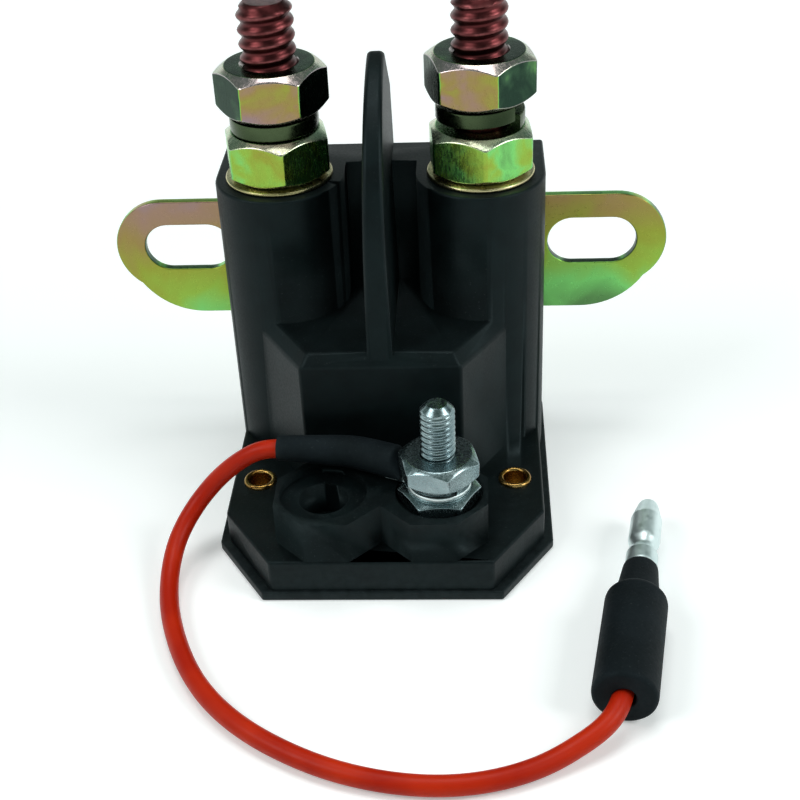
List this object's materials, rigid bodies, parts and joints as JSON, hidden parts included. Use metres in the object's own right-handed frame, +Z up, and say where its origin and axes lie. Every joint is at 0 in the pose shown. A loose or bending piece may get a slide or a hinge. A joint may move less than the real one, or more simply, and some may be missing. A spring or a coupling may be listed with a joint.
{
  "type": "starter solenoid relay",
  "caption": "Electrically operated starter switch: moulded housing with copper stud terminals, a barrier rib, a control stud with a bullet lead, and a slotted mounting bracket.",
  "frame": {"origin": "on the ground under the middle of the base and bracket", "axes": "+Z up along the studs, -Y is the front with the control stud, +Y the side with the mounting bracket, +X to the right seen from the front"},
  "size_m": [0.0864, 0.0857, 0.074],
  "materials": {
    "black_plastic": "moulded, slight sheen",
    "cover_plastic": "moulded, satin",
    "yellow_zinc": "yellow chromate zinc plating",
    "brass": "rolled brass",
    "screw_steel": "plain steel",
    "copper_stud": "oxidised copper plating",
    "zinc_steel": "bright zinc plating",
    "tinned": "tin plating",
    "sleeve_pvc": "soft matt sleeve",
    "lead_insulation": "smooth insulation",
    "coil_steel": "bare low-carbon steel",
    "bobbin_nylon": "moulded nylon",
    "copper": "enamelled copper wire",
    "spring_steel": "spring wire",
    "phenolic": "phenolic moulding",
    "contact_copper": "bare copper"
  },
  "bodies": {
    "root": {"housing": "black_plastic", "base_cover": "cover_plastic", "mounting_bracket": "yellow_zinc", "front_eyelets": "brass", "rear_screws": "screw_steel", "left_main_stud": "copper_stud", "right_main_stud": "copper_stud", "left_flat_washer": "yellow_zinc", "right_flat_washer": "yellow_zinc", "left_lower_nut": "yellow_zinc", "right_lower_nut": "yellow_zinc", "left_lock_washer": "yellow_zinc", "right_lock_washer": "yellow_zinc", "left_upper_nut": "yellow_zinc", "right_upper_nut": "yellow_zinc", "control_stud": "zinc_steel", "control_lower_nut": "zinc_steel", "control_lock_washer": "zinc_steel", "control_upper_nut": "zinc_steel", "ring_terminal": "tinned", "terminal_sleeve": "sleeve_pvc", "lead_wire": "lead_insulation", "bullet_sleeve": "sleeve_pvc", "bullet_terminal": "tinned", "coil_frame": "coil_steel", "pole_plate": "coil_steel", "coil_bobbin": "bobbin_nylon", "coil_winding": "copper", "fixed_core": "coil_steel", "coil_feed_lead": "copper", "coil_earth_lead": "copper", "return_spring": "spring_steel", "contact_spring": "spring_steel"},
    "plunger_group": {"plunger": "coil_steel", "push_rod": "coil_steel", "spring_seat": "spring_steel", "retaining_clip": "spring_steel"},
    "bridge_group": {"contact_bridge": "contact_copper", "insulating_bush": "phenolic", "insulating_washer": "phenolic"}
  },
  "joints": [
    {"name": "plunger_slide", "type": "slide", "parent": "root", "child": "plunger_group", "axis": [0, 0, 1], "range_m": [0, 0.0027], "stiffness_N_per_m": 400, "springref_m": -0.004, "deforming": ["return_spring", "contact_spring"]},
    {"name": "bridge_slide", "type": "slide", "parent": "root", "child": "bridge_group", "axis": [0, 0, 1], "range_m": [0, 0.0024]}
  ],
  "couplings": [
    {"joint": "bridge_slide", "follows": "plunger_slide", "ratio": 0.8888}
  ]
}
